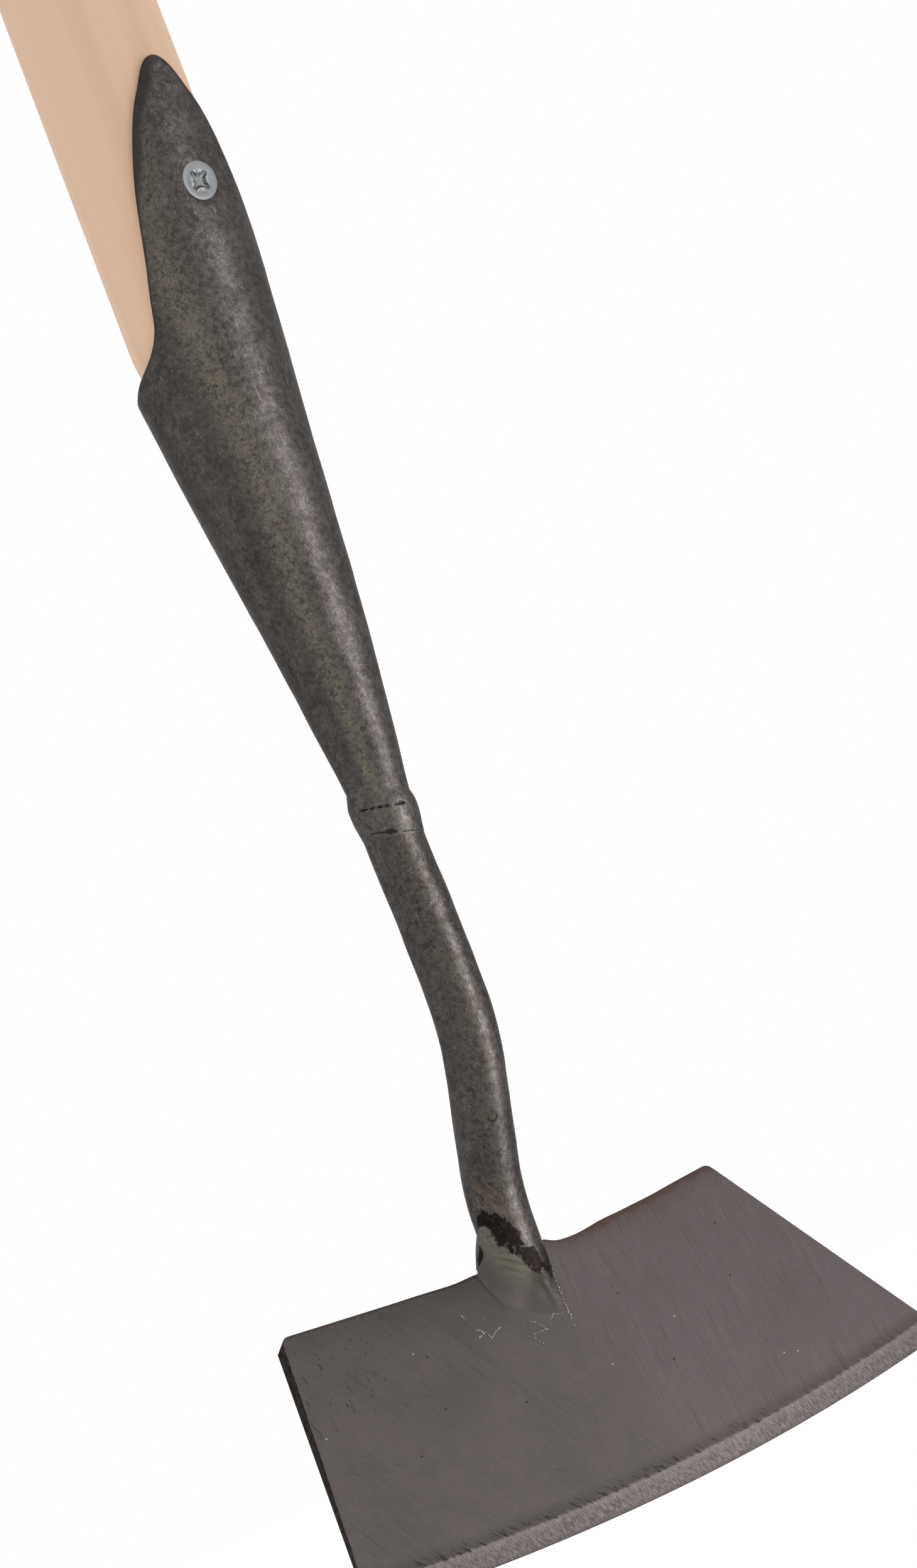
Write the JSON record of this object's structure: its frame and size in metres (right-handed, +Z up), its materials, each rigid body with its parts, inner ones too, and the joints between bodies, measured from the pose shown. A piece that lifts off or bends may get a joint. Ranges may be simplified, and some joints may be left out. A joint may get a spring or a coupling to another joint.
{
  "type": "dutch hoe",
  "caption": "Push hoe: a wide, bevelled skimming blade on a bent round neck, welded to a tapered socket with a slanted mouth whose pointed tongue is screwed to a long ash handle.",
  "frame": {"origin": "on the handle's axis, in the middle of the parallel grip", "axes": "+Z runs up the handle to its rounded top, the face of the blade looks towards -Y, and +X runs across the blade"},
  "size_m": [0.1604, 0.0446, 1.7045],
  "materials": {
    "ash": "sanded, bare",
    "forged_steel": "forged, blackened and rubbed",
    "neck_steel": "forged, blackened and rubbed",
    "weld_metal": "weld, brushed",
    "blade_steel": "ground, oiled",
    "ground_weld": "weld, ground",
    "zinc": "zinc plated"
  },
  "bodies": {
    "root": {"handle": "ash", "socket": "forged_steel", "screw": "zinc", "neck": "neck_steel", "collar_weld": "weld_metal", "blade": "blade_steel", "blade_weld": "ground_weld"}
  },
  "joints": []
}
